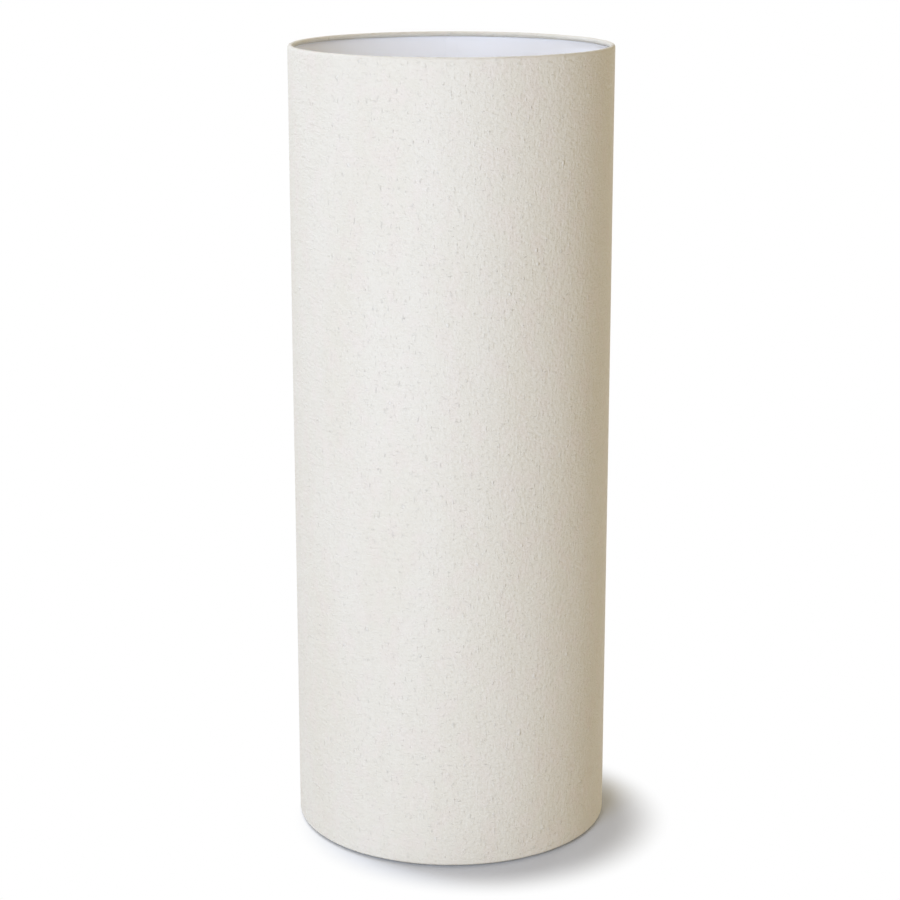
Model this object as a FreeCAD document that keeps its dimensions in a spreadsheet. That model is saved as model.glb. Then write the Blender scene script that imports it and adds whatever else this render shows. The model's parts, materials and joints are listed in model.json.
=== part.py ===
import FreeCAD, Part
import os
import re
import Sketcher
from FreeCAD import Placement, Rotation, Vector

# Column floor lamp: a tall linen drum, rolled round a wire ring at each end,
# that lifts off a flat steel stand with an E27 lampholder and its bulb.
# Millimetres, +Z up, front -Y, origin on the floor at the lamp's axis.

SIZES = {
    # shade
    "shade_diameter": 400,
    "lamp_height": 1000,
    "hem_clearance": 3,         # floor to the lower hem, where the flat lead passes
    "linen_thickness": 0.8,
    "liner_thickness": 0.5,
    "glue_line": 0.1,           # linen to liner
    "ring_wire": 4,
    "fold_play": 0.5,           # linen to the wire ring inside its fold
    "tuck_angle": 250,          # how far the linen is rolled round its ring
    # spider, which carries the shade on the plate
    "spider_wire": 4,
    "spider_count": 3,
    "spider_turn": 30,          # first arm's angle from +X
    "spider_play": 1,           # spider ring to the collar it is centred on
    "bulb_pass": 5,             # spider ring to the bulb it is lifted over
    "seat_gap": 0.3,            # spider to the plate at rest
    "weld_gap": 0.1,
    "crank_run": 12,            # length of an arm's double bend
    "notch_play": 0.5,          # linen to the arm on each side
    # base plate and its feet
    "plate_diameter": 320,
    "plate_thickness": 6,
    "plate_chamfer": 1.5,
    "pad_count": 4,
    "pad_diameter": 24,
    "pad_height": 3,            # floor to the plate
    "pad_recess": 1,
    "pad_play": 0.2,
    "pad_inset": 22,            # pad's centre from the plate's edge
    "pad_round": 0.8,
    # threaded rod and what it clamps
    "rod_diameter": 10,
    "rod_bore": 7,
    "rod_play": 0.05,           # thread fit, taken as a plain bore
    "rod_overrun": 0.5,
    "rod_chamfer": 0.4,
    "rod_grip": 7,              # rod inside the lampholder's boss
    "lead_hole_diameter": 6,    # where the lead enters the rod from the side
    "nut_width": 14,
    "nut_thickness": 3,
    "nut_recess_depth": 3.5,
    "nut_recess_diameter": 30,
    "washer_diameter": 22,
    "washer_thickness": 1,
    # collar with the lead's gland
    "collar_height": 34,
    "collar_rim_height": 6,
    "collar_step": 4,
    "collar_wall": 4,
    "collar_round": 5,
    "collar_floor": 2,          # below the stem's seat
    "gland_level": 19,          # gland's axis above the plate
    "gland_diameter": 10,
    "gland_bore": 6,
    "gland_play": 0.1,
    "gland_flange_diameter": 14,
    "gland_flange": 2,
    "gland_chamfer": 1,
    "gland_depth": 12,          # collar's outside to the gland's inner end
    "gland_nut_width": 14,
    "gland_nut_thickness": 3,
    "gland_nut_gap": 0.3,       # nut's corners to the collar's round wall
    # stem
    "stem_diameter": 16,
    "stem_wall": 1,
    "stem_length": 363,
    "stem_socket": 3,
    "stem_play": 0.1,
    "stem_cap_flange": 4,
    "stem_cap_spigot": 6,
    "stem_cap_rim": 1.5,
    # lampholder
    "holder_diameter": 39,
    "holder_wall": 2,
    "holder_boss_diameter": 16,
    "holder_boss_height": 4,
    "holder_cap_height": 24,
    "holder_spigot": 5,
    "spigot_wall": 1.5,
    "holder_play": 0.2,
    "holder_lip": 2,
    "grub_screw_diameter": 3,
    "insert_height": 8,
    "shell_thickness": 0.4,
    "socket_play": 0.4,         # bulb cap to the holder's metal shell
    "leaf_thickness": 0.6,
    "leaf_width": 6,
    "leaf_rise": 3,
    "leaf_reach": 10,           # lamp's axis to the end of the leaf's foot
    "leaf_foot": 4,
    "leaf_tip": 5,
    "contact_gap": 0.3,
    "terminal_diameter": 5,
    "terminal_height": 3,
    "terminal_offset": 8,       # screw's axis from the lamp's
    # bulb
    "bulb_diameter": 60,
    "bulb_length": 108,
    "bulb_cap_diameter": 26,
    "bulb_cap_height": 20,
    "bulb_cap_wall": 0.5,
    "bulb_cap_shoulder": 2,
    "rim_gap": 0.9,             # lampholder's mouth to the bulb's housing
    "insulator_height": 3.5,
    "insulator_diameter": 20,
    "contact_diameter": 9,
    "contact_height": 1.5,
    "housing_wall": 1.5,
    "housing_foot": 1,          # housing over the bulb cap, all round
    "housing_flare": 64,        # radius of its hollow flank
    "globe_wall": 1.2,
    "globe_seat_drop": 16,      # globe's centre to its seat on the housing
    "board_thickness": 1.5,
    "board_play": 0.3,
}

# Places that follow from the sizes, in the same words.
DERIVED = {
    # stand, from the floor up
    "plate_radius": "plate_diameter / 2",
    "plate_top": "pad_height + plate_thickness",
    "pad_track": "plate_radius - pad_inset",
    "recess_top": "pad_height + nut_recess_depth",
    "washer_bottom": "recess_top - washer_thickness",
    "nut_bottom": "washer_bottom - nut_thickness",
    "rod_bottom": "nut_bottom - rod_overrun",
    "rod_radius": "rod_diameter / 2",
    "rod_hole": "rod_radius + rod_play",
    "collar_radius": "spider_inside - spider_play",
    "collar_neck": "collar_radius - collar_step",
    "collar_inner": "collar_neck - collar_wall",
    "collar_rim_top": "plate_top + collar_rim_height",
    "collar_top": "plate_top + collar_height",
    "stem_radius": "stem_diameter / 2",
    "stem_bore": "stem_radius - stem_wall",
    "stem_bottom": "collar_top - stem_socket",
    "stem_top": "stem_bottom + stem_length",
    "collar_ceiling": "stem_bottom - collar_floor",
    "gland_axis": "plate_top + gland_level",
    "gland_inner": "collar_neck - gland_depth",
    "gland_outer": "collar_neck + gland_flange",
    "gland_radius": "gland_diameter / 2",
    "flange_radius": "gland_flange_diameter / 2",
    "gland_nut_corner": "gland_nut_width / 2 / cos(30)",
    "gland_nut_face": "sqrt(collar_inner ^ 2 - gland_nut_corner ^ 2) - gland_nut_gap",
    "stem_cap_top": "stem_top + stem_cap_flange",
    # lampholder
    "holder_bottom": "stem_cap_top + nut_thickness",
    "holder_radius": "holder_diameter / 2",
    "holder_inside": "holder_radius - holder_wall",
    "boss_radius": "holder_boss_diameter / 2",
    "boss_top": "holder_bottom + holder_boss_height",
    "dome_radius": "holder_radius - boss_radius",
    "dome_top": "boss_top + dome_radius",
    "rod_top": "holder_bottom + rod_grip",
    "grub_radius": "grub_screw_diameter / 2",
    "grub_level": "holder_bottom + holder_boss_height / 2",
    "holder_joint": "holder_bottom + holder_cap_height",
    "spigot_radius": "holder_inside - holder_play",
    "spigot_inside": "spigot_radius - spigot_wall",
    "cap_hollow": "spigot_inside - boss_radius",
    "cap_floor": "dome_top - cap_hollow",
    "insert_radius": "spigot_inside - holder_play",
    "insert_top": "dome_top + insert_height",
    "leaf_top": "insert_top + leaf_rise + leaf_thickness",
    "shell_inside": "bulb_cap_radius + socket_play",
    "shell_outside": "shell_inside + shell_thickness",
    "holder_top": "bulb_cap_top - rim_gap",
    # bulb
    "bulb_bottom": "leaf_top + contact_gap",
    "bulb_cap_bottom": "bulb_bottom + contact_height + insulator_height",
    "bulb_cap_top": "bulb_cap_bottom + bulb_cap_height",
    "bulb_cap_radius": "bulb_cap_diameter / 2",
    "contact_radius": "contact_diameter / 2",
    "bulb_radius": "bulb_diameter / 2",
    "insulator_bottom": "bulb_bottom + contact_height",
    "globe_centre": "bulb_bottom + bulb_length - bulb_radius",
    "globe_seat": "globe_centre - globe_seat_drop",
    "globe_seat_radius": "sqrt(bulb_radius ^ 2 - globe_seat_drop ^ 2)",
    "globe_inside": "bulb_radius - globe_wall",
    "globe_seat_inside": "sqrt(globe_inside ^ 2 - globe_seat_drop ^ 2)",
    "housing_foot_radius": "bulb_cap_radius + housing_foot",
    # shade
    "shade_radius": "shade_diameter / 2",
    "linen_inside": "shade_radius - linen_thickness",
    "liner_outside": "linen_inside - glue_line",
    "liner_inside": "liner_outside - liner_thickness",
    "wire_radius": "ring_wire / 2",
    "fold_inside": "wire_radius + fold_play",
    "fold_outside": "fold_inside + linen_thickness",
    "ring_track": "shade_radius - fold_outside",
    "lower_ring": "hem_clearance + fold_outside",
    "upper_ring": "lamp_height - fold_outside",
    "spider_inside": "bulb_radius + bulb_pass",
    "arm_radius": "spider_wire / 2",
    "arm_level": "plate_top + seat_gap + arm_radius",
    "arm_inner": "spider_inside + spider_wire + weld_gap",
    "arm_outer": "ring_track - wire_radius - weld_gap",
    "crank_middle": "(plate_radius + ring_track) / 2",
    "crank_start": "crank_middle + crank_run / 2",
    "crank_end": "crank_middle - crank_run / 2",
    "crank_rise": "arm_level - lower_ring",
    "crank_radius": "(crank_rise ^ 2 + crank_run ^ 2) / (4 * crank_rise)",
}

HEXAGON = 6
FULL_TURN = 360
START, END, CENTRE = 1, 2, 3             # named points of a sketched line or arc
SMALLEST_CUT = 0.5                       # cubic millimetres
BACK = Rotation(Vector(1, 0, 0), -90)    # turns a piece made along +Z to +Y

doc = FreeCAD.newDocument("ColumnFloorLamp")
sheet = doc.addObject("Spreadsheet::Sheet", "Sizes")
nodes = []


def fill_sheet():
    for row, (name, number) in enumerate(SIZES.items(), 1):
        sheet.set(f"A{row}", name)
        sheet.set(f"B{row}", str(number))
        sheet.setAlias(f"B{row}", name)
    doc.recompute()


def formula(words):
    def spell(found):
        name = found.group(0)
        if name in DERIVED:
            return "(" + formula(DERIVED[name]) + ")"
        return "Sizes." + name if name in SIZES else name
    return re.sub(r"[a-z_]+", spell, words)


def value(words):
    return float(sheet.evalExpression(formula(words)))


def bind(thing, **properties):
    for name, words in properties.items():
        thing.setExpression(name.replace("__", "."), formula(words))
    return thing


def node(thing, label):
    thing.Label = label
    nodes.append(thing)
    return thing


def raised(thing, words):
    return bind(thing, Placement__Base__z=words)


def new_body(label):
    return node(doc.addObject("PartDesign::Body", label), label)


def origin_feature(body, role):
    return next(each for each in body.Origin.OriginFeatures if each.Role == role)


def new_sketch(body, role, name):
    sketch = body.newObject("Sketcher::SketchObject", name)
    sketch.AttachmentSupport = (origin_feature(body, role), [""])
    sketch.MapMode = "FlatFace"
    return sketch


def arc_between(start, end, radius, side):
    chord = end - start
    left = Vector(-chord.y, chord.x, 0).normalize()
    height = max(radius ** 2 - chord.Length ** 2 / 4, 0) ** 0.5
    centre = (start + end) / 2 + left * height * (1 if side == "left" else -1)
    first, last = (start, end) if side == "left" else (end, start)
    circle = Part.Circle(centre, Vector(0, 0, 1), radius)
    return Part.ArcOfCircle(circle, circle.parameter(first), circle.parameter(last))


# A corner is (across, up), or (across, up, radius, side) where an arc of less
# than half a turn, bending to that side, leads on to the next corner.
def draw_outline(sketch, corners, closed=True):
    count = len(corners)
    last = count if closed else count - 1
    ends = []
    for index in range(last):
        corner = corners[index]
        following = corners[(index + 1) % count]
        start = Vector(value(corner[0]), value(corner[1]), 0)
        end = Vector(value(following[0]), value(following[1]), 0)
        if len(corner) == 2:
            sketch.addGeometry(Part.LineSegment(start, end), False)
            ends.append((START, END))
            continue
        sketch.addGeometry(arc_between(start, end, value(corner[2]), corner[3]), False)
        ends.append((START, END) if corner[3] == "left" else (END, START))
        hold_size(sketch, "Radius", [index], corner[2])
    for index in range(last if closed else last - 1):
        onward = (index + 1) % last
        sketch.addConstraint(Sketcher.Constraint("Coincident", index, ends[index][1],
                                                 onward, ends[onward][0]))
    for index, corner in enumerate(corners):
        at_end = index == last
        place = [index - 1, ends[-1][1]] if at_end else [index, ends[index][0]]
        hold_size(sketch, "DistanceX", place, corner[0])
        hold_size(sketch, "DistanceY", place, corner[1])
    return sketch


def hold_size(sketch, kind, place, words):
    number = sketch.addConstraint(Sketcher.Constraint(kind, *place, value(words)))
    sketch.setExpression(f"Constraints[{number}]", formula(words))


def turned(label, corners):
    body = new_body(label)
    sketch = draw_outline(new_sketch(body, "XZ_Plane", label + "_profile"), corners)
    turn = body.newObject("PartDesign::Revolution", label + "_turn")
    turn.Profile = sketch
    turn.ReferenceAxis = (sketch, ["V_Axis"])
    turn.Angle = FULL_TURN
    doc.recompute()
    return body


def padded(body, name, corners, width):
    sketch = draw_outline(new_sketch(body, "XZ_Plane", name + "_outline"), corners)
    pad = body.newObject("PartDesign::Pad", name)
    pad.Profile = sketch
    pad.Midplane = True
    bind(pad, Length=width)
    doc.recompute()


def pocketed(body, sketch, name, length, reversed_cut=False, midplane=False):
    before = body.Shape.Volume
    pocket = body.newObject("PartDesign::Pocket", name)
    pocket.Profile = sketch
    pocket.Midplane = midplane
    pocket.Reversed = reversed_cut
    bind(pocket, Length=length)
    doc.recompute()
    if body.Shape.Volume > before - SMALLEST_CUT:
        raise RuntimeError(f"{name} cuts nothing")
    return pocket


def draw_circle(sketch, across, up, radius):
    centre = Vector(value(across), value(up), 0)
    sketch.addGeometry(Part.Circle(centre, Vector(0, 0, 1), value(radius)), False)
    hold_size(sketch, "Radius", [0], radius)
    hold_size(sketch, "DistanceX", [0, CENTRE], across)
    hold_size(sketch, "DistanceY", [0, CENTRE], up)
    return sketch


# A round hole from the lamp's axis out through the back (+Y) of a turned body.
def drilled_back(body, name, level, radius, length):
    sketch = draw_circle(new_sketch(body, "XZ_Plane", name + "_outline"), "0", level, radius)
    pocketed(body, sketch, name, length)
    if body.Shape.CenterOfGravity.y > 0:
        raise RuntimeError(f"{name} is cut through the front")


def repeat_round(body, feature, count):
    pattern = body.newObject("PartDesign::PolarPattern", feature.Name + "_pattern")
    pattern.Originals = [feature]
    pattern.Axis = (origin_feature(body, "Z_Axis"), [""])
    pattern.Angle = FULL_TURN
    bind(pattern, Occurrences=count)
    body.Tip = pattern
    doc.recompute()


def cylinder(name, radius, height):
    return bind(doc.addObject("Part::Cylinder", name), Radius=radius, Height=height)


def bored(label, blank, radius, height):
    bore = cylinder(label + "_bore", radius, height)
    cut = node(doc.addObject("Part::Cut", label), label)
    cut.Base = blank
    cut.Tool = bore
    return cut


def hexagon_nut(label, width, thickness, bore):
    blank = doc.addObject("Part::Prism", label + "_blank")
    blank.Polygon = HEXAGON
    bind(blank, Circumradius=f"{width} / 2 / cos(30)", Height=thickness)
    return bored(label, blank, bore, thickness)


def upright_box(left, right, bottom, top):
    return [(left, bottom), (right, bottom), (right, top), (left, top)]


def make_base_plate():
    body = turned("base_plate", [
        ("rod_hole", "recess_top"),
        ("nut_recess_diameter / 2", "recess_top"),
        ("nut_recess_diameter / 2", "pad_height"),
        ("plate_radius", "pad_height"),
        ("plate_radius", "plate_top - plate_chamfer"),
        ("plate_radius - plate_chamfer", "plate_top"),
        ("rod_hole", "plate_top"),
    ])
    sketch = draw_circle(new_sketch(body, "XY_Plane", "pad_seat_outline"),
                         "pad_track", "0", "pad_diameter / 2 + pad_play")
    seat = pocketed(body, sketch, "pad_seat", "pad_height + pad_recess", reversed_cut=True)
    repeat_round(body, seat, "pad_count")


def make_foot_pads():
    for number in range(int(value("pad_count"))):
        pad = turned(f"foot_pad_{number + 1}", [
            ("0", "0"),
            ("pad_diameter / 2 - pad_round", "0", "pad_round", "left"),
            ("pad_diameter / 2", "pad_round"),
            ("pad_diameter / 2", "pad_height + pad_recess"),
            ("0", "pad_height + pad_recess"),
        ])
        angle = f"({FULL_TURN} * {number} / pad_count)"
        bind(pad, Placement__Base__x=f"pad_track * cos{angle}",
             Placement__Base__y=f"pad_track * sin{angle}")


def make_base_collar():
    body = turned("base_collar", [
        ("collar_inner", "plate_top"),
        ("collar_radius", "plate_top"),
        ("collar_radius", "collar_rim_top"),
        ("collar_neck", "collar_rim_top + collar_step"),
        ("collar_neck", "collar_top - collar_round", "collar_round", "left"),
        ("collar_neck - collar_round", "collar_top"),
        ("stem_radius + stem_play", "collar_top"),
        ("stem_radius + stem_play", "stem_bottom"),
        ("rod_hole", "stem_bottom"),
        ("rod_hole", "collar_ceiling"),
        ("collar_inner", "collar_ceiling"),
    ])
    drilled_back(body, "gland_hole", "gland_axis", "gland_radius + gland_play",
                 "collar_radius")


def make_cord_gland():
    gland = turned("cord_gland", [
        ("gland_bore / 2", "gland_inner"),
        ("gland_radius", "gland_inner"),
        ("gland_radius", "collar_neck"),
        ("flange_radius", "collar_neck"),
        ("flange_radius", "gland_outer - gland_chamfer"),
        ("flange_radius - gland_chamfer", "gland_outer"),
        ("gland_bore / 2", "gland_outer"),
    ])
    nut = hexagon_nut("gland_nut", "gland_nut_width", "gland_nut_thickness",
                      "gland_radius + gland_play")
    for piece in (gland, nut):
        piece.Placement = Placement(Vector(), BACK)
        raised(piece, "gland_axis")
    bind(nut, Placement__Base__y="gland_nut_face - gland_nut_thickness")


def make_threaded_rod():
    body = turned("threaded_rod", [
        ("rod_bore / 2", "rod_bottom"),
        ("rod_radius - rod_chamfer", "rod_bottom"),
        ("rod_radius", "rod_bottom + rod_chamfer"),
        ("rod_radius", "rod_top - rod_chamfer"),
        ("rod_radius - rod_chamfer", "rod_top"),
        ("rod_bore / 2", "rod_top"),
    ])
    drilled_back(body, "lead_hole", "gland_axis", "lead_hole_diameter / 2", "rod_diameter")


def make_rod_hardware():
    raised(hexagon_nut("base_nut", "nut_width", "nut_thickness", "rod_hole"), "nut_bottom")
    blank = cylinder("lock_washer_blank", "washer_diameter / 2", "washer_thickness")
    raised(bored("lock_washer", blank, "rod_hole", "washer_thickness"), "washer_bottom")
    raised(hexagon_nut("rod_locknut", "nut_width", "nut_thickness", "rod_hole"),
           "stem_cap_top")


def make_stem():
    turned("stem_tube", upright_box("stem_bore", "stem_radius", "stem_bottom", "stem_top"))
    turned("stem_cap", [
        ("rod_hole", "stem_top - stem_cap_spigot"),
        ("stem_bore - stem_play", "stem_top - stem_cap_spigot"),
        ("stem_bore - stem_play", "stem_top"),
        ("stem_radius + stem_cap_rim", "stem_top"),
        ("stem_radius + stem_cap_rim", "stem_cap_top - stem_cap_rim"),
        ("stem_radius", "stem_cap_top"),
        ("rod_hole", "stem_cap_top"),
    ])


def make_lampholder():
    cap = turned("holder_cap", [
        ("rod_hole", "holder_bottom"),
        ("boss_radius", "holder_bottom"),
        ("boss_radius", "boss_top", "dome_radius", "left"),
        ("holder_radius", "dome_top"),
        ("holder_radius", "holder_joint"),
        ("spigot_radius", "holder_joint"),
        ("spigot_radius", "holder_joint + holder_spigot"),
        ("spigot_inside", "holder_joint + holder_spigot"),
        ("spigot_inside", "dome_top", "cap_hollow", "right"),
        ("boss_radius", "cap_floor"),
        ("rod_hole", "cap_floor"),
    ])
    drilled_back(cap, "grub_hole", "grub_level", "grub_radius + rod_play", "boss_radius")
    grub = node(cylinder("holder_grub_screw", "grub_radius", "boss_radius - rod_hole"),
                "holder_grub_screw")
    grub.Placement = Placement(Vector(), BACK)
    bind(grub, Placement__Base__y="rod_hole", Placement__Base__z="grub_level")
    turned("holder_insert", upright_box("0", "insert_radius", "dome_top", "insert_top"))
    turned("holder_shell", upright_box("shell_inside", "shell_outside", "insert_top",
                                       "holder_top - holder_lip - holder_play"))
    turned("holder_skirt", [
        ("holder_inside", "holder_joint"),
        ("holder_radius", "holder_joint"),
        ("holder_radius", "holder_top - holder_lip", "holder_lip", "left"),
        ("holder_radius - holder_lip", "holder_top"),
        ("shell_outside", "holder_top"),
        ("shell_outside", "holder_top - holder_lip"),
        ("holder_inside", "holder_top - holder_lip"),
    ])


def make_contacts():
    foot_end = "leaf_reach - leaf_foot"
    padded(new_body("centre_contact"), "leaf", [
        ("leaf_reach", "insert_top"),
        ("leaf_reach", "insert_top + leaf_thickness"),
        (foot_end, "insert_top + leaf_thickness"),
        ("leaf_tip / 2", "leaf_top"),
        ("-leaf_tip / 2", "leaf_top"),
        ("-leaf_tip / 2", "leaf_top - leaf_thickness"),
        ("leaf_tip / 2 - leaf_thickness / 2", "leaf_top - leaf_thickness"),
        (foot_end + " - leaf_thickness / 2", "insert_top"),
    ], "leaf_width")
    screws = []
    for side in ("left", "right"):
        screw = cylinder(f"terminal_{side}", "terminal_diameter / 2", "terminal_height")
        reach = "-terminal_offset" if side == "left" else "terminal_offset"
        bind(screw, Placement__Base__x=reach, Placement__Base__z="dome_top - terminal_height")
        screws.append(screw)
    pair = node(doc.addObject("Part::Compound", "terminal_screws"), "terminal_screws")
    pair.Links = screws


def make_bulb():
    turned("bulb_contact", [
        ("0", "bulb_bottom"),
        ("contact_radius - contact_height", "bulb_bottom", "contact_height", "left"),
        ("contact_radius", "insulator_bottom"),
        ("0", "insulator_bottom"),
    ])
    turned("bulb_insulator", [
        ("0", "insulator_bottom"),
        ("contact_radius", "insulator_bottom"),
        ("insulator_diameter / 2", "bulb_cap_bottom"),
        ("0", "bulb_cap_bottom"),
    ])
    turned("bulb_screw_cap", [
        ("insulator_diameter / 2 - bulb_cap_wall", "bulb_cap_bottom"),
        ("insulator_diameter / 2", "bulb_cap_bottom"),
        ("bulb_cap_radius", "bulb_cap_bottom + bulb_cap_shoulder"),
        ("bulb_cap_radius", "bulb_cap_top"),
        ("bulb_cap_radius - bulb_cap_wall", "bulb_cap_top"),
        ("bulb_cap_radius - bulb_cap_wall", "bulb_cap_bottom + bulb_cap_shoulder"),
    ])
    turned("bulb_housing", [
        ("housing_foot_radius - housing_wall", "bulb_cap_top"),
        ("housing_foot_radius", "bulb_cap_top", "housing_flare", "right"),
        ("globe_seat_radius", "globe_seat"),
        ("0", "globe_seat"),
        ("0", "globe_seat - housing_wall"),
        ("globe_seat_radius - housing_wall", "globe_seat - housing_wall",
         "housing_flare + housing_wall", "left"),
    ])
    turned("led_board", upright_box("0", "globe_seat_inside - board_play", "globe_seat",
                                    "globe_seat + board_thickness"))
    turned("bulb_globe", [
        ("globe_seat_radius", "globe_seat", "bulb_radius", "left"),
        ("0", "globe_centre + bulb_radius"),
        ("0", "globe_centre + globe_inside", "globe_inside", "right"),
        ("globe_seat_inside", "globe_seat"),
    ])


# One face of the linen where it is rolled round a wire ring: arcs of the given
# radius about the ring, from one angle to the next, with 0 facing outwards.
def fold(radius, level, upward, angles, side):
    corners = []
    for angle in angles:
        corners.append((f"ring_track + {radius} * cos({angle})",
                        f"{level} {upward} {radius} * sin({angle})", radius, side))
    corners[-1] = corners[-1][:2]
    return corners


def make_linen_cover():
    turn_in = ["0", "90", "180", "tuck_angle"]
    turn_out = turn_in[::-1]
    cover = turned("linen_cover",
                   fold("fold_outside", "upper_ring", "+", turn_in, "left")
                   + fold("fold_inside", "upper_ring", "+", turn_out, "right")
                   + fold("fold_inside", "lower_ring", "-", turn_in, "right")
                   + fold("fold_outside", "lower_ring", "-", turn_out, "left"))
    outline = upright_box("ring_track - 2 * fold_outside", "ring_track - fold_inside / 2",
                          "0", "lower_ring + 2 * fold_outside")
    sketch = draw_outline(new_sketch(cover, "XZ_Plane", "arm_notch_outline"), outline)
    notch = pocketed(cover, sketch, "arm_notch", "spider_wire + 2 * notch_play",
                     midplane=True)
    repeat_round(cover, notch, "spider_count")
    cover.Placement = about_axis(value("spider_turn"))


def about_axis(angle):
    return Placement(Vector(), Rotation(Vector(0, 0, 1), angle))


def make_liner():
    turned("liner", upright_box("liner_inside", "liner_outside",
                                "lower_ring + fold_inside", "upper_ring - fold_inside"))


def make_wire_rings():
    rings = [
        ("top_ring", "ring_track", "wire_radius", "upper_ring"),
        ("bottom_ring", "ring_track", "wire_radius", "lower_ring"),
        ("spider_ring", "spider_inside + arm_radius", "arm_radius", "arm_level"),
    ]
    for label, track, radius, level in rings:
        ring = node(doc.addObject("Part::Torus", label), label)
        raised(bind(ring, Radius1=track, Radius2=radius), level)


def make_spider_arms():
    for number in range(int(value("spider_count"))):
        label = f"spider_arm_{number + 1}"
        arm = new_body(label)
        spine = draw_outline(new_sketch(arm, "XZ_Plane", label + "_line"), [
            ("arm_outer", "lower_ring"),
            ("crank_start", "lower_ring", "crank_radius", "right"),
            ("crank_middle", "(lower_ring + arm_level) / 2", "crank_radius", "left"),
            ("crank_end", "arm_level"),
            ("arm_inner", "arm_level"),
        ], closed=False)
        section = new_sketch(arm, "YZ_Plane", label + "_section")
        bind(section, AttachmentOffset__Base__z="arm_outer")
        draw_circle(section, "0", "lower_ring", "arm_radius")
        pipe = arm.newObject("PartDesign::AdditivePipe", label + "_wire")
        pipe.Profile = section
        pipe.Spine = (spine, [])
        doc.recompute()
        turn = value("spider_turn") + FULL_TURN * number / value("spider_count")
        arm.Placement = about_axis(turn)


def check_model():
    doc.recompute()
    for thing in doc.Objects:
        if "Invalid" in thing.State or "Error" in thing.State:
            raise RuntimeError(f"{thing.Label} is {thing.State}")
    for piece in nodes:
        if piece.Shape.isNull() or not piece.Shape.isValid():
            raise RuntimeError(f"{piece.Label} has no valid shape")


def export_parts():
    os.makedirs("parts", exist_ok=True)
    for piece in nodes:
        piece.Shape.exportStep(f"parts/{piece.Label}.step")
    print(f"{len(nodes)} pieces")


def main():
    fill_sheet()
    make_base_plate()
    make_foot_pads()
    make_base_collar()
    make_cord_gland()
    make_threaded_rod()
    make_rod_hardware()
    make_stem()
    make_lampholder()
    make_contacts()
    make_bulb()
    make_linen_cover()
    make_liner()
    make_wire_rings()
    make_spider_arms()
    check_model()
    export_parts()


main()
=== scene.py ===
import json
from math import cos, pi, radians, sin, sqrt

import bpy
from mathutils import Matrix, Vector, noise


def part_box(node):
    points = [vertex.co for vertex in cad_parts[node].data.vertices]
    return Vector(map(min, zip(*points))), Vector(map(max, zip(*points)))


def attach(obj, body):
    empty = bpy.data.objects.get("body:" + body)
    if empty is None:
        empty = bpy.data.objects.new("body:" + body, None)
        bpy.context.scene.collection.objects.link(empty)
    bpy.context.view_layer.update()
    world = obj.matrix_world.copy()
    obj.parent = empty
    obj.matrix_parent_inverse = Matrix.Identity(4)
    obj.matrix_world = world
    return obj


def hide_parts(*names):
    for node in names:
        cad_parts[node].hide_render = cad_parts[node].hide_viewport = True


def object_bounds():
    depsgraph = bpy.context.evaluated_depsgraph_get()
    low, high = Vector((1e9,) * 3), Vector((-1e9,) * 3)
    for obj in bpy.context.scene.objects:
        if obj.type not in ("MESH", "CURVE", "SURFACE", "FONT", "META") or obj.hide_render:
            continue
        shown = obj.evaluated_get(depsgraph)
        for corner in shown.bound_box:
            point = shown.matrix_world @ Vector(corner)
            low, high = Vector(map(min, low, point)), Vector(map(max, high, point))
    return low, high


# Column floor lamp: a linen drum that lifts off a steel stand with a lampholder and bulb.
# Everything is in metres, on the same axes as the CAD model.

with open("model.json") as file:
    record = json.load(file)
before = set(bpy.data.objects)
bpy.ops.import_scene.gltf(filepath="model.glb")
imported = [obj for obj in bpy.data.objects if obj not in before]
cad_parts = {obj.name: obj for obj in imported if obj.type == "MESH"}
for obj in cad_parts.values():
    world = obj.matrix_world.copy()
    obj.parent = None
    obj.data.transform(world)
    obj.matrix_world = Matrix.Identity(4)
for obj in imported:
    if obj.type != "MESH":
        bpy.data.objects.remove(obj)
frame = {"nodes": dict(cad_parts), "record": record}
cadLow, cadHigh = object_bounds()
nodes = frame["nodes"]
scene = bpy.context.scene
print("frame loaded")


view = {
    "distance": 2.82,        # from the lamp's axis
    "height": 1.225,
    "pitch": 14.67,          # degrees down
    "turn": 0.033,           # degrees to the left
    "lens": 91.24,           # millimetres
    "sensor": 36,
}


def addCamera():
    data = bpy.data.cameras.new("camera")
    data.sensor_width = view["sensor"]
    data.lens = view["lens"]
    camera = bpy.data.objects.new("camera", data)
    camera.location = (0, -view["distance"], view["height"])
    camera.rotation_euler = (radians(90 - view["pitch"]), 0, radians(view["turn"]))
    scene.collection.objects.link(camera)
    scene.camera = camera


# small helpers for node trees: a value given as a socket is linked, anything else is set

def plug(tree, value, socket):
    if isinstance(value, bpy.types.NodeSocket):
        tree.links.new(value, socket)
    else:
        socket.default_value = value


def addNode(tree, kind, inputs=None, **settings):
    node = tree.nodes.new(kind)
    for key, value in settings.items():
        setattr(node, key, value)
    for key, value in (inputs or {}).items():
        plug(tree, value, node.inputs[key])
    return node


def newMaterial(name):
    material = bpy.data.materials.new(name)
    material.use_nodes = True
    return material, material.node_tree, material.node_tree.nodes["Principled BSDF"]


def calc(tree, operation, first, second=0.5, third=0.5):
    return addNode(tree, "ShaderNodeMath", {0: first, 1: second, 2: third}, operation=operation).outputs[0]


def ramp(tree, value, low, high, outLow=0.0, outHigh=1.0):
    node = addNode(tree, "ShaderNodeMapRange",
                   {"Value": value, "From Min": low, "From Max": high, "To Min": outLow, "To Max": outHigh},
                   interpolation_type="SMOOTHSTEP")
    return node.outputs["Result"]


def mixColours(tree, factor, first, second):
    node = addNode(tree, "ShaderNodeMix", data_type="RGBA")
    plug(tree, factor, node.inputs[0])
    plug(tree, first, node.inputs[6])
    plug(tree, second, node.inputs[7])
    return node.outputs[2]


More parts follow.
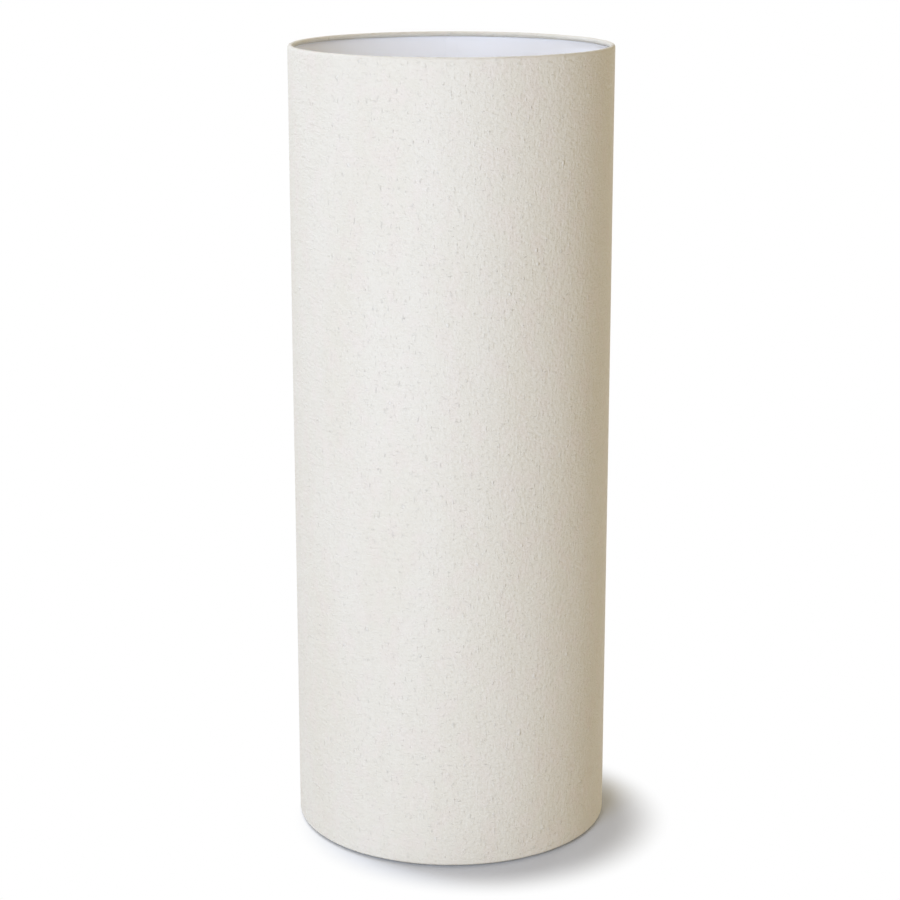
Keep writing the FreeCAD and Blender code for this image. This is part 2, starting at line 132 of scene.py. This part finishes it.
def stretch(tree, vector, factors):
    return addNode(tree, "ShaderNodeVectorMath", {0: vector, 1: factors}, operation="MULTIPLY").outputs[0]


def cloud(tree, vector, scale=1.0, detail=2.0, roughness=0.5):
    node = addNode(tree, "ShaderNodeTexNoise",
                   {"Vector": vector, "Scale": scale, "Detail": detail, "Roughness": roughness})
    return node.outputs["Fac"]


def bumpNormal(tree, height, distance, strength=1.0):
    node = addNode(tree, "ShaderNodeBump", {"Strength": strength, "Distance": distance, "Height": height})
    return node.outputs[0]


def newGroup(name, inputs, outputs):
    tree = bpy.data.node_groups.new(name, "ShaderNodeTree")
    for key, value in inputs.items():
        kind = "NodeSocketVector" if value is None else "NodeSocketFloat"
        socket = tree.interface.new_socket(name=key, in_out="INPUT", socket_type=kind)
        if value is not None:
            socket.default_value = value
    for key in outputs:
        tree.interface.new_socket(name=key, in_out="OUTPUT", socket_type="NodeSocketFloat")
    return tree, tree.nodes.new("NodeGroupInput").outputs, tree.nodes.new("NodeGroupOutput").inputs


def placeGroup(tree, group, inputs):
    node = addNode(tree, "ShaderNodeGroup", node_tree=group)
    for key, value in inputs.items():
        plug(tree, value, node.inputs[key])
    return node.outputs


# threads that run along Y: fine ribs, uneven thickness and raised slubs

yarn = {
    "swayWaves": (30, 12, 1),     # waves per metre, across and along
    "sway": 0.8,                  # threads that a rib wanders sideways
    "layer": 7.0,                 # where the noise is cut
    "streakRoughness": 0.62,
    "broadStretch": (0.22, 0.4, 1),
    "slubReach": (0.60, 0.80),    # streaks above the first number start to be slubs
    # painted shade: this share of the tone follows the streaks, so it is darker where the relief is low
    "streakShade": 0.6,
    "broadTone": 0.4,
}


def yarnGroup():
    tree, given, made = newGroup(
        "slubYarn",
        {"Vector": None, "Pitch": 0.001, "Rib Height": 0.2,
         "Slub Width": 0.002, "Slub Length": 0.05, "Slub Height": 1.0},
        ["Height", "Slub", "Tone"])
    parts = addNode(tree, "ShaderNodeSeparateXYZ", {0: given["Vector"]}).outputs
    sway = cloud(tree, stretch(tree, given["Vector"], yarn["swayWaves"]), detail=1.0)
    across = calc(tree, "MULTIPLY_ADD", sway, yarn["sway"], calc(tree, "DIVIDE", parts[0], given["Pitch"]))
    rib = calc(tree, "ABSOLUTE", calc(tree, "SINE", calc(tree, "MULTIPLY", across, pi)))
    place = addNode(tree, "ShaderNodeCombineXYZ",
                    {0: calc(tree, "DIVIDE", parts[0], given["Slub Width"]),
                     1: calc(tree, "DIVIDE", parts[1], given["Slub Length"]),
                     2: yarn["layer"]}).outputs[0]
    streak = cloud(tree, place, detail=3.0, roughness=yarn["streakRoughness"])
    broad = cloud(tree, stretch(tree, place, yarn["broadStretch"]), detail=1.0)
    slub = ramp(tree, streak, *yarn["slubReach"])
    height = calc(tree, "MULTIPLY", streak, given["Slub Height"])
    height = calc(tree, "MULTIPLY_ADD", slub, given["Slub Height"], height)
    plug(tree, calc(tree, "MULTIPLY_ADD", rib, given["Rib Height"], height), made["Height"])
    plug(tree, slub, made["Slub"])
    # Tone: the streak part is painted shade, darker where the relief is low; the broad part is uneven tone
    tone = calc(tree, "MULTIPLY", broad, yarn["broadTone"])
    plug(tree, calc(tree, "MULTIPLY_ADD", streak, yarn["streakShade"], tone), made["Tone"])
    return tree


# small scattered specks of uneven size; Share is how many of the places are filled

specks = {
    "smallest": 0.5,              # times the radius
    "sizeSpread": 0.9,
    "core": 0.3,                  # part of a speck that is fully there
}


def speckGroup():
    tree, given, made = newGroup(
        "scatteredSpecks",
        {"Vector": None, "Spacing": 0.01, "Radius": 0.001, "Share": 0.5},
        ["Mask"])
    cells = addNode(tree, "ShaderNodeTexVoronoi",
                    {"Vector": given["Vector"], "Scale": calc(tree, "DIVIDE", 1.0, given["Spacing"])})
    reach = calc(tree, "MULTIPLY", cells.outputs["Distance"], given["Spacing"])
    chance = addNode(tree, "ShaderNodeSeparateColor", {0: cells.outputs["Color"]}).outputs
    growth = calc(tree, "MULTIPLY_ADD", chance[1], specks["sizeSpread"], specks["smallest"])
    size = calc(tree, "MULTIPLY", given["Radius"], growth)
    dot = ramp(tree, reach, size, calc(tree, "MULTIPLY", size, specks["core"]))
    chosen = calc(tree, "LESS_THAN", chance[0], given["Share"])
    plug(tree, calc(tree, "MULTIPLY", dot, chosen), made["Mask"])
    return tree


# fine skin of a powder coat, a moulding or a rolled sheet, with broad uneven patches

def grainGroup():
    tree, given, made = newGroup(
        "fineGrain",
        {"Vector": None, "Size": 0.001, "Patch Size": 0.05},
        ["Height", "Mottle"])
    fine = cloud(tree, given["Vector"], calc(tree, "DIVIDE", 1.0, given["Size"]))
    broad = cloud(tree, given["Vector"], calc(tree, "DIVIDE", 1.0, given["Patch Size"]), detail=3.0)
    plug(tree, fine, made["Height"])
    plug(tree, broad, made["Mottle"])
    return tree


slubYarn = yarnGroup()
scatteredSpecks = speckGroup()
fineGrain = grainGroup()


linen = {
    "colour": (0.739, 0.716, 0.636, 1),
    "slubColour": (0.785, 0.775, 0.725, 1),
    # the colour of the painted shade in the hollows where the warp's relief is low
    "hollowShadeColour": (0.637, 0.605, 0.503, 1),
    "rosyColour": (0.748, 0.708, 0.640, 1),
    "fleckColour": (0.360, 0.300, 0.200, 1),
    "hollowShadeShare": 0.12,          # how much of the painted shade in the hollows, with broad uneven tone, shows
    "slubShare": 0.2,
    "nubShare": 0.6,
    "fleckShare": 0.28,
    "relief": 0.00022,            # metres for a height of 1 in the numbers below
    "warp": {"Pitch": 0.0009, "Rib Height": 0.12,
             "Slub Width": 0.0030, "Slub Length": 0.0110, "Slub Height": 3.2},
    "weft": {"Pitch": 0.0009, "Rib Height": 0.12,
             "Slub Width": 0.0028, "Slub Length": 0.0090, "Slub Height": 2.4},
    "grain": (165, 250, 1),       # waves per metre, round and down
    "grainHeight": 5.5,
    "cockle": (75, 115, 1),
    "cockleHeight": 3.0,
    "crumple": 0.6,               # roughness of the noise for both
    "nubs": {"Spacing": 0.009, "Radius": 0.0012, "Share": 0.2},
    "nubStretch": (0.5, 0.4, 1),
    "nubHeight": 4.0,
    "flecks": {"Spacing": 0.011, "Radius": 0.0011, "Share": 0.16},
    "fleckStretch": (1, 0.32, 0),
    "patches": (14, 4, 1),        # waves per metre, as below
    "patchReach": (0.35, 0.65),
    "patchShare": 0.25,
    "rosyPatches": (42, 28, 1),
    "rosyReach": (0.45, 0.65),
    "toneReach": (0.38, 0.60),
    "roughness": 0.9,
    "sheen": 0.10,
    "sheenRoughness": 0.5,
    "specular": 0.2,
}


def makeLinen():
    material, tree, shader = newMaterial("linen")
    place = addNode(tree, "ShaderNodeUVMap", uv_map="cloth").outputs[0]
    turned = addNode(tree, "ShaderNodeVectorRotate", {"Vector": place, "Angle": pi / 2},
                     rotation_type="Z_AXIS").outputs[0]
    warp = placeGroup(tree, slubYarn, {"Vector": place, **linen["warp"]})
    weft = placeGroup(tree, slubYarn, {"Vector": turned, **linen["weft"]})
    nubs = placeGroup(tree, scatteredSpecks,
                      {"Vector": stretch(tree, place, linen["nubStretch"]), **linen["nubs"]})["Mask"]
    flecks = placeGroup(tree, scatteredSpecks,
                        {"Vector": stretch(tree, place, linen["fleckStretch"]), **linen["flecks"]})["Mask"]

    # relief: both threads, the crumpled grain, the slight cockle of the laminate, and knots
    grain = cloud(tree, stretch(tree, place, linen["grain"]), roughness=linen["crumple"])
    cockle = cloud(tree, stretch(tree, place, linen["cockle"]), roughness=linen["crumple"])
    height = calc(tree, "ADD", warp["Height"], weft["Height"])
    height = calc(tree, "MULTIPLY_ADD", grain, linen["grainHeight"], height)
    height = calc(tree, "MULTIPLY_ADD", cockle, linen["cockleHeight"], height)
    height = calc(tree, "MULTIPLY_ADD", nubs, linen["nubHeight"], height)
    plug(tree, bumpNormal(tree, height, linen["relief"]), shader.inputs["Normal"])

    # colour: undyed thread, painted shade where the warp's relief is low, paler slubs and knots, a few
    # brown bits of straw
    patch = cloud(tree, stretch(tree, place, linen["patches"]), detail=3.0)
    patch = ramp(tree, patch, *linen["patchReach"], 0.0, linen["patchShare"])
    rosy = cloud(tree, stretch(tree, place, linen["rosyPatches"]), detail=3.0)
    rosy = ramp(tree, rosy, *linen["rosyReach"])
    # painted shade: the darker colour shows where the warp's streaks and relief are low, with broad uneven
    # tone
    tone = ramp(tree, warp["Tone"], *linen["toneReach"], 1 - linen["hollowShadeShare"], 1.0)
    colour = mixColours(tree, rosy, linen["colour"], linen["rosyColour"])
    colour = mixColours(tree, tone, linen["hollowShadeColour"], colour)
    colour = mixColours(tree, patch, colour, linen["slubColour"])
    marks = [(warp["Slub"], "slubShare", "slubColour"), (weft["Slub"], "slubShare", "slubColour"),
             (flecks, "fleckShare", "fleckColour"), (nubs, "nubShare", "slubColour")]
    for mask, share, tint in marks:
        colour = mixColours(tree, calc(tree, "MULTIPLY", mask, linen[share]), colour, linen[tint])
    plug(tree, colour, shader.inputs["Base Color"])
    shader.inputs["Roughness"].default_value = linen["roughness"]
    shader.inputs["Sheen Weight"].default_value = linen["sheen"]
    shader.inputs["Sheen Roughness"].default_value = linen["sheenRoughness"]
    shader.inputs["Specular IOR Level"].default_value = linen["specular"]
    return material


def meshObject(name, vertices, faces, layouts=None, sharpAngle=None):
    mesh = bpy.data.meshes.new(name)
    mesh.from_pydata(vertices, [], faces)
    if layouts:
        layer = mesh.uv_layers.new(name="cloth")
        layer.data.foreach_set("uv", [number for face in layouts for pair in face for number in pair])
    mesh.update()
    if sharpAngle:
        mesh.shade_smooth()
        mesh.set_sharp_from_angle(angle=radians(sharpAngle))
    piece = bpy.data.objects.new(name, mesh)
    scene.collection.objects.link(piece)
    return piece


def nearAngle(angle, other):
    return abs((angle - other + pi) % (2 * pi) - pi)


seamAngle = pi / 2            # the seams run down the back
seamStep = 0.003              # radians between the close columns at a seam's edge
sharpAngle = 40               # degrees


def drumColumns(count, seamHalf):
    # even columns, with close ones at the two edges of the seam
    angles = [2 * pi * index / count for index in range(count)]
    for side in (-1, 1):
        for step in (-seamStep, 0, seamStep):
            angles.append(seamAngle + side * seamHalf + step)
    return sorted(angle % (2 * pi) for angle in angles)


def thickSheet(name, angles, path, thickness, shift, present=lambda column, row: True):
    # a sheet with two faces and closed edges, swept round the axis
    # path holds radius, height and outward direction
    # shift moves a point outwards; present leaves cells out
    rows, columns = len(path), len(angles)
    lengths = [0.0]
    for first, second in zip(path, path[1:]):
        lengths.append(lengths[-1] + sqrt((second[0] - first[0]) ** 2 + (second[1] - first[1]) ** 2))
    vertices, faces, layouts = [], [], []
    for side in (1, -1):
        for angle in angles:
            for row, (radius, level, outward) in enumerate(path):
                push = side * thickness / 2 + shift(angle, row, side)
                reach = radius + outward[0] * push
                vertices.append((reach * cos(angle), reach * sin(angle), level + outward[1] * push))

    def vertex(side, column, row):
        return (0 if side > 0 else rows * columns) + (column % columns) * rows + row

    def place(column, row):
        angle = angles[column % columns] + (2 * pi if column >= columns else 0)
        return (angle * path[row][0], -lengths[row])

    def cell(column, row):
        return 0 <= row < rows - 1 and present(column % columns, row)

    def addFace(corners, places):
        faces.append([vertex(*corner) for corner in corners])
        layouts.append([place(*corner) for corner in places])

    for column in range(columns):
        for row in range(rows - 1):
            if not cell(column, row):
                continue
            corners = [(column, row), (column, row + 1), (column + 1, row + 1), (column + 1, row)]
            addFace([(1, *corner) for corner in corners], corners)
            addFace([(-1, *corner) for corner in corners[::-1]], corners[::-1])
            edges = [((column, row + 1), (column, row), cell(column - 1, row)),
                     ((column + 1, row), (column + 1, row + 1), cell(column + 1, row)),
                     ((column, row), (column + 1, row), cell(column, row - 1)),
                     ((column + 1, row + 1), (column, row + 1), cell(column, row + 1))]
            for first, second, joined in edges:
                if not joined:
                    addFace([(1, *first), (1, *second), (-1, *second), (-1, *first)],
                            [first, second, second, first])
    return meshObject(name, vertices, faces, layouts, sharpAngle)


cover = {
    "thickness": 0.0008,
    "wireRadius": 0.002,
    "foldPlay": 0.0005,
    "tuckAngle": 250,         # degrees that the linen is rolled round its ring
    "notchAngle": 130,        # degrees of the roll that are cut away for an arm
    "notchPlay": 0.0005,
    "armAngles": (30, 150, 270),
    "columns": 480,
    "wallRows": 130,
    "foldRows": 26,
    "lapWidth": 0.012,        # the seam
    "lapRise": 0.0006,
    "ripple": 0.00022,        # gentle unevenness of the wall
    "rippleWaves": (3.1, 4),  # round the drum, and up it per metre
    "smallRipple": 0.5,       # share of the ripple
    "smallWaves": (9, 7),
    "pucker": 0.00016,        # small gathers in the rolled hem
    "puckerWaves": 26,
    "smallPucker": 0.6,
    "smallPuckerWaves": 60,
    "puckerDrift": 0.02,      # how the small gathers change from row to row
    "puckerSink": 0.5,        # how far the hem lies back on average, in puckers
    "cuts": (5, 9, 3, 4),     # where the noise is cut: small ripple, lower hem, upper hem, small gathers
}


def foldPath(track, level, radius, upward):
    # from the outermost point, over the ring, to the tucked edge
    points = []
    for row in range(cover["foldRows"] + 1):
        angle = radians(cover["tuckAngle"]) * row / cover["foldRows"]
        outward = (cos(angle), upward * sin(angle))
        points.append((track + radius * outward[0], level + radius * outward[1], outward))
    return points


def coverPath(rollRadius):
    low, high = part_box("linen_cover")
    half = cover["thickness"] / 2
    outer = (cadHigh.x - cadLow.x) / 2 - half
    upper = high.z - half - rollRadius
    lower = low.z + half + rollRadius
    path = foldPath(outer - rollRadius, upper, rollRadius, 1)[::-1]
    for row in range(1, cover["wallRows"]):
        path.append((outer, upper + (lower - upper) * row / cover["wallRows"], (1, 0)))
    return path + foldPath(outer - rollRadius, lower, rollRadius, -1)


def coverShift(path):
    rows = len(path)
    fold = cover["foldRows"]
    broadRound, broadUp = cover["rippleWaves"]
    fineRound, fineUp = cover["smallWaves"]
    cutSmall, cutLow, cutHigh, cutGather = cover["cuts"]

    def shift(angle, row, side):
        turn = Vector((cos(angle), sin(angle), 0))
        height = path[row][1]
        inFold = max(fold - row, row - (rows - 1 - fold), 0) / fold
        wave = noise.noise(turn * broadRound + Vector((0, 0, height * broadUp)))
        small = noise.noise(turn * fineRound + Vector((0, 0, height * fineUp + cutSmall)))
        wave += cover["smallRipple"] * small
        cut = cutHigh if row < rows / 2 else cutLow
        gather = noise.noise(turn * cover["puckerWaves"] + Vector((0, 0, cut)))
        drift = Vector((cutGather, 0, row * cover["puckerDrift"]))
        gather += cover["smallPucker"] * noise.noise(turn * cover["smallPuckerWaves"] + drift)
        push = cover["ripple"] * wave * (1 - inFold)
        push -= cover["pucker"] * (cover["puckerSink"] + gather) * inFold
        onLap = nearAngle(angle, seamAngle) < cover["lapWidth"] / 2 / path[row][0]
        if side > 0 and onLap and not inFold:
            push += cover["lapRise"]
        return push

    return shift


def makeCover(material):
    rollRadius = cover["wireRadius"] + cover["foldPlay"] + cover["thickness"] / 2
    path = coverPath(rollRadius)
    rows = len(path)
    wallRadius = path[rows // 2][0]
    angles = drumColumns(cover["columns"], cover["lapWidth"] / 2 / wallRadius)
    notchHalf = (cover["wireRadius"] + cover["notchPlay"]) / wallRadius
    notchRow = rows - int(cover["foldRows"] * (1 - cover["notchAngle"] / cover["tuckAngle"])) - 1

    def present(column, row):
        middle = (angles[column] + angles[(column + 1) % len(angles)]) / 2
        atArm = any(nearAngle(middle, radians(angle)) < notchHalf for angle in cover["armAngles"])
        return not (atArm and row >= notchRow)

    piece = thickSheet("linenDrum", angles, path, cover["thickness"], coverShift(path), present)
    piece.data.materials.append(material)
    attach(piece, "shade")
    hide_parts("linen_cover")


liner = {
    "thickness": 0.0005,
    "columns": 360,
    "rows": 60,
    "lapWidth": 0.015,
    "lapRise": 0.0004,
    "ripple": 0.00006,
    "rippleRound": 2,
    "rippleUp": 3,                # times rippleRound, per metre
    "colour": (0.95, 0.955, 0.97, 1),
    "patchColour": (0.93, 0.935, 0.95, 1),
    "patches": (8, 5, 1),         # waves per metre, round and down
    "patchReach": (0.3, 0.7),
    "patchShare": 0.3,
    "emboss": (700, 700, 1),
    "embossDepth": 0.000025,
    "roughness": (0.38, 0.50),
    "specular": 0.4,
}


def makeLinerFilm():
    material, tree, shader = newMaterial("linerFilm")
    place = addNode(tree, "ShaderNodeUVMap", uv_map="cloth").outputs[0]
    emboss = cloud(tree, stretch(tree, place, liner["emboss"]), detail=1.0)
    broad = cloud(tree, stretch(tree, place, liner["patches"]), detail=3.0)
    patch = ramp(tree, broad, *liner["patchReach"], 0.0, liner["patchShare"])
    colour = mixColours(tree, patch, liner["colour"], liner["patchColour"])
    plug(tree, colour, shader.inputs["Base Color"])
    gloss = ramp(tree, broad, *liner["patchReach"], *liner["roughness"])
    plug(tree, gloss, shader.inputs["Roughness"])
    plug(tree, bumpNormal(tree, emboss, liner["embossDepth"]), shader.inputs["Normal"])
    shader.inputs["Specular IOR Level"].default_value = liner["specular"]
    return material


def makeLiner(material):
    low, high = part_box("liner")
    radius = high.x - liner["thickness"] / 2
    lapHalf = liner["lapWidth"] / 2 / radius
    path = []
    for row in range(liner["rows"] + 1):
        path.append((radius, high.z + (low.z - high.z) * row / liner["rows"], (1, 0)))

    def shift(angle, row, side):
        spot = Vector((cos(angle), sin(angle), path[row][1] * liner["rippleUp"]))
        push = liner["ripple"] * noise.noise(spot * liner["rippleRound"])
        if side < 0 and nearAngle(angle, seamAngle) < lapHalf:
            push -= liner["lapRise"]
        return push

    angles = drumColumns(liner["columns"], lapHalf)
    piece = thickSheet("linerSleeve", angles, path, liner["thickness"], shift)
    piece.data.materials.append(material)
    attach(piece, "shade")
    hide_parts("liner")


# finishes of the stand, the lampholder, the bulb and the wires, by the record's slots
# grain and depth are in metres; patchColour lies in broad soft patches over colour

finishes = {
    "white_coat": {"colour": (0.80, 0.80, 0.79, 1), "patchColour": (0.76, 0.76, 0.75, 1),
                   "roughness": 0.45, "grain": 0.0007, "depth": 0.00003},
    "shade_wire": {"colour": (0.80, 0.80, 0.79, 1), "patchColour": (0.75, 0.75, 0.74, 1),
                   "roughness": 0.40, "grain": 0.0006, "depth": 0.00003},
    "pad_rubber": {"colour": (0.018, 0.018, 0.018, 1), "patchColour": (0.03, 0.03, 0.03, 1),
                   "roughness": 0.80, "grain": 0.0005, "depth": 0.00003},
    "zinc_steel": {"colour": (0.55, 0.56, 0.57, 1), "patchColour": (0.46, 0.47, 0.49, 1),
                   "roughness": 0.34, "grain": 0.0004, "depth": 0.000012, "metallic": 1.0},
    "brass_sheet": {"colour": (0.72, 0.52, 0.22, 1), "patchColour": (0.62, 0.43, 0.17, 1),
                    "roughness": 0.30, "grain": 0.0004, "depth": 0.000012, "metallic": 1.0},
    "nickel_cap": {"colour": (0.62, 0.62, 0.61, 1), "patchColour": (0.54, 0.54, 0.54, 1),
                   "roughness": 0.30, "grain": 0.0004, "depth": 0.000012, "metallic": 1.0},
    "holder_plastic": {"colour": (0.80, 0.80, 0.77, 1), "patchColour": (0.77, 0.76, 0.73, 1),
                       "roughness": 0.38, "grain": 0.0005, "depth": 0.00002},
    "insert_plastic": {"colour": (0.72, 0.70, 0.64, 1), "patchColour": (0.68, 0.66, 0.60, 1),
                       "roughness": 0.50, "grain": 0.0005, "depth": 0.00002},
    "dark_insulator": {"colour": (0.012, 0.012, 0.016, 1), "patchColour": (0.02, 0.02, 0.024, 1),
                       "roughness": 0.15, "grain": 0.0004, "depth": 0.000006, "coat": 0.3},
    "bulb_plastic": {"colour": (0.85, 0.85, 0.84, 1), "patchColour": (0.82, 0.82, 0.81, 1),
                     "roughness": 0.25, "grain": 0.0006, "depth": 0.000006, "coat": 0.2},
    "board_aluminium": {"colour": (0.82, 0.82, 0.80, 1), "patchColour": (0.76, 0.76, 0.74, 1),
                        "roughness": 0.40, "grain": 0.0004, "depth": 0.000006},
    "opal_diffuser": {"colour": (0.88, 0.88, 0.86, 1), "patchColour": (0.85, 0.85, 0.83, 1),
                      "roughness": 0.30, "grain": 0.0004, "depth": 0.000003, "glow": 0.4},
}
skin = {
    "patchSize": 0.055,
    "patchReach": (0.35, 0.7),        # of the mottle, from colour to patchColour
    "glossReach": (0.3, 0.7),
    "roughnessSpread": (-0.05, 0.07),
    "glowDepth": 0.004,               # how far light spreads inside the opal diffuser
}


def solidFinish(name, finish):
    material, tree, shader = newMaterial(name)
    place = addNode(tree, "ShaderNodeTexCoord").outputs["Object"]
    grain = placeGroup(tree, fineGrain,
                       {"Vector": place, "Size": finish["grain"], "Patch Size": skin["patchSize"]})
    low, high = (finish["roughness"] + spread for spread in skin["roughnessSpread"])
    patch = ramp(tree, grain["Mottle"], *skin["patchReach"])
    colour = mixColours(tree, patch, finish["colour"], finish["patchColour"])
    gloss = ramp(tree, grain["Mottle"], *skin["glossReach"], low, high)
    plug(tree, colour, shader.inputs["Base Color"])
    plug(tree, gloss, shader.inputs["Roughness"])
    plug(tree, bumpNormal(tree, grain["Height"], finish["depth"]), shader.inputs["Normal"])
    shader.inputs["Metallic"].default_value = finish.get("metallic", 0.0)
    shader.inputs["Coat Weight"].default_value = finish.get("coat", 0.0)
    if "glow" in finish:
        shader.inputs["Subsurface Weight"].default_value = finish["glow"]
        shader.inputs["Subsurface Radius"].default_value = [skin["glowDepth"]] * 3
        shader.inputs["Subsurface Scale"].default_value = 1.0
    return material


def dressStand():
    made = {name: solidFinish(name, finish) for name, finish in finishes.items()}
    for part in frame["record"]["subparts"]:
        if part["material_slot"] in made:
            mesh = nodes[part["node"]].data
            mesh.materials.clear()
            mesh.materials.append(made[part["material_slot"]])


studio = {
    "floorColour": (0.76, 0.76, 0.76, 1),
    "seenColour": (0.540, 0.568, 0.625, 1),   # the same floor as the camera sees it
    "paintedLightUnderDrum": (0.62, 0.635, 0.645, 1),   # and below the drum, lighter and more neutral: painted light that lifts the shade under the hem and round the stand
    "floorGlow": 0.05,            # added to what the camera sees
    "floorSize": 12,              # half its width
    "fadeMiddle": (0.04, -0.035, 0),
    "fadeReach": (0.17, 0.25),    # metres from there over which the floor turns plain white
    "drumEdge": (0.194, 0.202),   # metres from the axis within which it never does
    "worldColour": (1.0, 0.80, 0.483, 1),
    "worldStrength": 0.52,
    "aim": (0, 0, 0.5),
}

plainWhite = (1, 1, 1, 1)

lamps = [
    # name, place, size across and up, power, colour
    ("key", (-1.3, -3.2, 1.55), (1.4, 2.0), 99, (0.66, 0.767, 1.0)),
    ("topLeft", (-1.6, 1.1, 3.1), (0.9, 0.9), 62, (0.652, 0.777, 1.0)),
    ("rimRight", (1.6, 2.4, 1.3), (0.8, 2.0), 18.5, (0.936, 0.99, 1.0)),
]


def addLamps():
    for name, place, size, power, colour in lamps:
        data = bpy.data.lights.new(name, "AREA")
        data.shape = "RECTANGLE"
        data.size, data.size_y = size
        data.energy = power
        data.color = colour
        lamp = bpy.data.objects.new(name, data)
        lamp.location = place
        lamp.rotation_euler = (Vector(studio["aim"]) - Vector(place)).to_track_quat("-Z", "Y").to_euler()
        lamp.visible_camera = False
        scene.collection.objects.link(lamp)


def seenRays(tree):
    # 1 for what the camera sees, also in gloss and through clear things
    rays = addNode(tree, "ShaderNodeLightPath").outputs
    seen = calc(tree, "MAXIMUM", rays["Is Camera Ray"], rays["Is Glossy Ray"])
    return calc(tree, "MAXIMUM", seen, rays["Is Transmission Ray"])


def addWorld():
    world = bpy.data.worlds.new("studio")
    scene.world = world
    world.use_nodes = True
    tree = world.node_tree
    tree.nodes.clear()
    light = addNode(tree, "ShaderNodeBackground",
                    {"Color": studio["worldColour"], "Strength": studio["worldStrength"]})
    white = addNode(tree, "ShaderNodeBackground", {"Color": plainWhite, "Strength": 1.0})
    mix = addNode(tree, "ShaderNodeMixShader",
                  {0: seenRays(tree), 1: light.outputs[0], 2: white.outputs[0]})
    addNode(tree, "ShaderNodeOutputWorld", {"Surface": mix.outputs[0]})


def addFloor():
    material = bpy.data.materials.new("studioFloor")
    material.use_nodes = True
    tree = material.node_tree
    tree.nodes.clear()
    seen = seenRays(tree)
    place = addNode(tree, "ShaderNodeNewGeometry").outputs["Position"]
    flat = stretch(tree, place, (1, 1, 0))
    fromAxis = addNode(tree, "ShaderNodeVectorMath", {0: flat}, operation="LENGTH").outputs["Value"]
    outside = ramp(tree, fromAxis, *studio["drumEdge"])
    # below the drum the floor is painted lighter: painted light lifting the shade under the hem and round
    # the stand
    seenColour = mixColours(tree, outside, studio["paintedLightUnderDrum"], studio["seenColour"])
    colour = mixColours(tree, seen, studio["floorColour"], seenColour)
    paint = addNode(tree, "ShaderNodeBsdfDiffuse", {"Color": colour})
    glow = addNode(tree, "ShaderNodeEmission",
                   {"Color": plainWhite, "Strength": calc(tree, "MULTIPLY", seen, studio["floorGlow"])})
    near = addNode(tree, "ShaderNodeAddShader", {0: paint.outputs[0], 1: glow.outputs[0]})
    plain = addNode(tree, "ShaderNodeEmission", {"Color": plainWhite, "Strength": 1.0})
    away = addNode(tree, "ShaderNodeVectorMath", {0: place, 1: studio["fadeMiddle"]},
                   operation="DISTANCE").outputs["Value"]
    fade = calc(tree, "MULTIPLY", ramp(tree, away, *studio["fadeReach"]), outside)
    mix = addNode(tree, "ShaderNodeMixShader",
                  {0: calc(tree, "MULTIPLY", fade, seen), 1: near.outputs[0], 2: plain.outputs[0]})
    addNode(tree, "ShaderNodeOutputMaterial", {"Surface": mix.outputs[0]})
    size = studio["floorSize"]
    corners = [(-size, -size, 0), (size, -size, 0), (size, size, 0), (-size, size, 0)]
    floor = meshObject("studioFloor", corners, [(0, 1, 2, 3)])
    floor.data.materials.append(material)


addCamera()
makeCover(makeLinen())
print("linen drum made")
makeLiner(makeLinerFilm())
print("liner made")
dressStand()
print("stand and bulb finished")
addLamps()
addWorld()
addFloor()
scene.view_settings.view_transform = "Standard"
print("studio lit")
